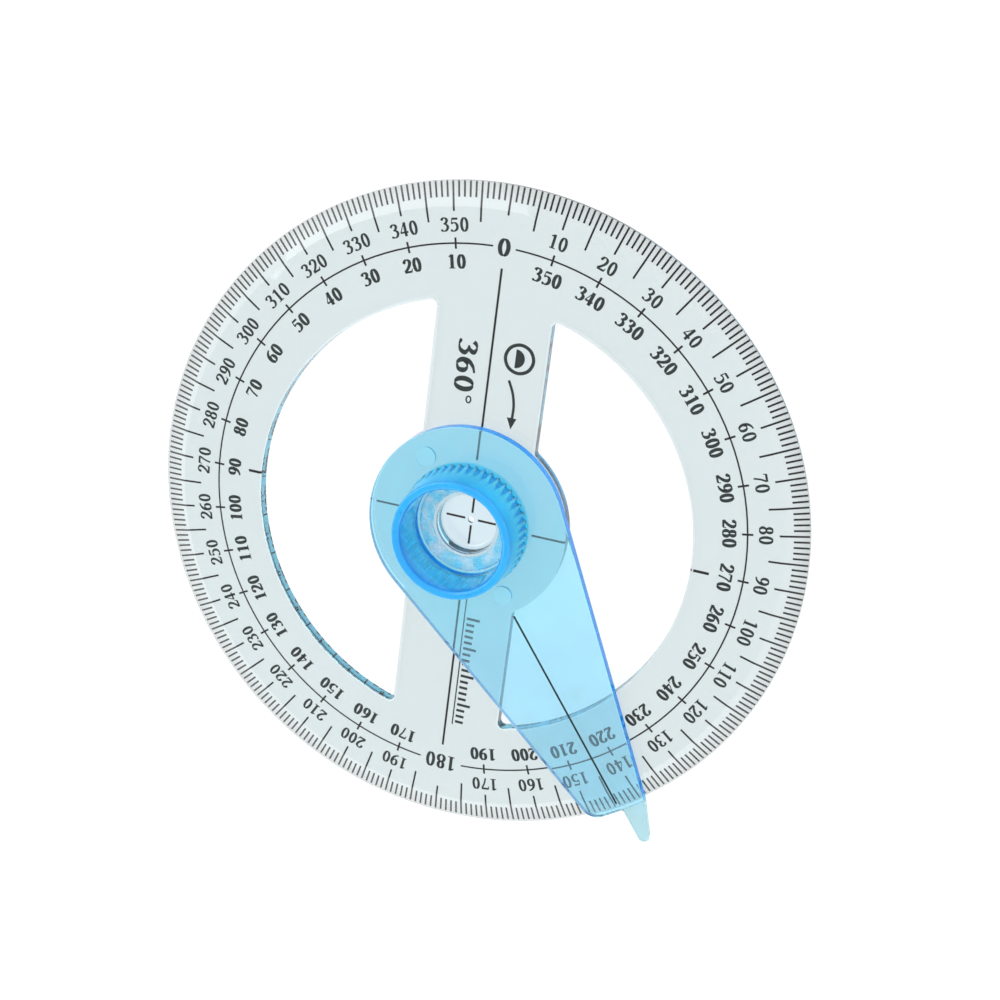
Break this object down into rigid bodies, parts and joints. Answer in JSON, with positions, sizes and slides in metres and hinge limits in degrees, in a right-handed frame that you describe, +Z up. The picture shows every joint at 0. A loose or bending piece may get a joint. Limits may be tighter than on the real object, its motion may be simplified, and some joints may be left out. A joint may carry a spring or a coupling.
{
  "type": "protractor",
  "caption": "Full-circle clear plastic protractor with a degree scale, two windows and a blue swing arm turned by a hollow knurled knob.",
  "frame": {"origin": "the protractor's vertex, on the surface that it lies on", "axes": "+Y towards the 0 mark, +X towards the 90 mark, +Z up along the pivot, out of the scale's face"},
  "size_m": [0.1, 0.1, 0.0106],
  "materials": {
    "clear_plastic": "gloss",
    "blue_plastic": "gloss",
    "black_ink": "matte"
  },
  "bodies": {
    "plate": {"scale_disc": "clear_plastic", "retaining_ring": "clear_plastic", "degree_ticks": "black_ink", "scale_circle": "black_ink", "centre_lines": "black_ink"},
    "arm": {"swing_arm": "blue_plastic", "index_line": "black_ink"}
  },
  "joints": [
    {"name": "arm_swing", "type": "hinge", "parent": "plate", "child": "arm", "pos_m": [0, 0, 0.0022], "axis": [0, 0, 1], "continuous": true}
  ]
}
